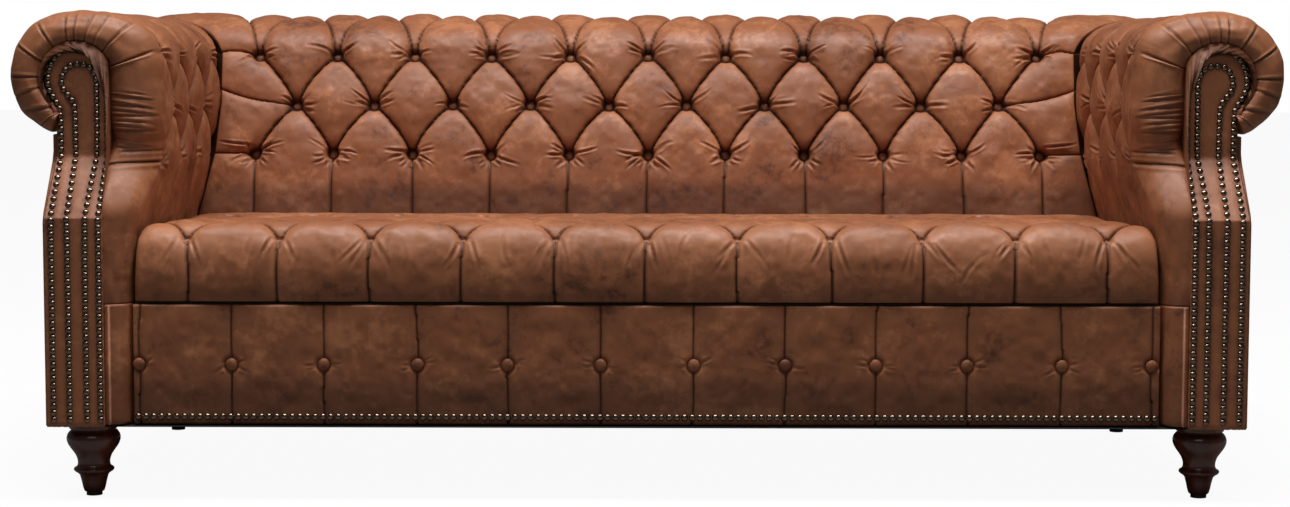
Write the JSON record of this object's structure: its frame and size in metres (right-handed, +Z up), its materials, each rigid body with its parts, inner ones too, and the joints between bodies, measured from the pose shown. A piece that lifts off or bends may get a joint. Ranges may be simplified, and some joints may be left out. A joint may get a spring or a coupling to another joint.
{
  "type": "chesterfield sofa",
  "caption": "Low leather sofa with deep-buttoned rolled arms and back of one height, a buttoned bench seat, scroll-headed facings edged with nails, and turned legs.",
  "frame": {"origin": "on the floor, under the middle of the sofa's width and depth", "axes": "+X to the right when the sofa is seen from the front, +Y to the rear, +Z up; left_ nodes are at -X and right_ nodes at +X"},
  "size_m": [2.0978, 0.8989, 0.7975],
  "materials": {
    "leather_pads": "antiqued, mottled brown, soft sheen",
    "leather_buttons": "antiqued, mottled brown, soft sheen",
    "leather_panels": "antiqued, mottled brown, soft sheen",
    "turned_wood": "dark mahogany stain, gloss lacquer",
    "frame_wood": "raw planed hardwood and plywood",
    "steel_fittings": "zinc plated",
    "glides": "black nylon",
    "webbing": "woven elastic webbing",
    "deck_cloth": "calico over firm felt",
    "dust_cloth": "black non-woven cambric"
  },
  "bodies": {
    "root": {"back_outer_rail": "frame_wood", "back_rib_1": "frame_wood", "back_rib_2": "frame_wood", "back_rib_3": "frame_wood", "back_rib_4": "frame_wood", "back_tack_rail": "frame_wood", "back_top_rail": "frame_wood", "back_upper_rail": "frame_wood", "back_webbing": "webbing", "border_buttons": "leather_buttons", "dust_cover": "dust_cloth", "foot_glides": "glides", "front_border_pad": "leather_pads", "front_legs": "turned_wood", "front_seat_rail": "frame_wood", "inside_back_buttons": "leather_buttons", "inside_back_pad": "leather_pads", "left_arm_board": "frame_wood", "left_arm_buttons": "leather_buttons", "left_arm_corner_pad": "leather_pads", "left_arm_facing": "leather_panels", "left_arm_front_post": "frame_wood", "left_arm_outer_rail": "frame_wood", "left_arm_pad": "leather_pads", "left_arm_rear_post": "frame_wood", "left_arm_tack_rail": "frame_wood", "left_arm_top_rail": "frame_wood", "left_outside_arm_panel": "leather_panels", "left_seat_cross_rail": "frame_wood", "left_side_seat_rail": "frame_wood", "leg_blocks": "frame_wood", "leg_bolts": "steel_fittings", "leg_plates": "steel_fittings", "outside_back_panel": "leather_panels", "rear_legs": "turned_wood", "rear_seat_rail": "frame_wood", "right_arm_board": "frame_wood", "right_arm_buttons": "leather_buttons", "right_arm_corner_pad": "leather_pads", "right_arm_facing": "leather_panels", "right_arm_front_post": "frame_wood", "right_arm_outer_rail": "frame_wood", "right_arm_pad": "leather_pads", "right_arm_rear_post": "frame_wood", "right_arm_tack_rail": "frame_wood", "right_arm_top_rail": "frame_wood", "right_outside_arm_panel": "leather_panels", "right_seat_cross_rail": "frame_wood", "right_side_seat_rail": "frame_wood", "seat_buttons": "leather_buttons", "seat_edge_roll": "deck_cloth", "seat_pad": "leather_pads", "seat_platform": "deck_cloth", "seat_webbing_cross": "webbing", "seat_webbing_long": "webbing"}
  },
  "joints": []
}
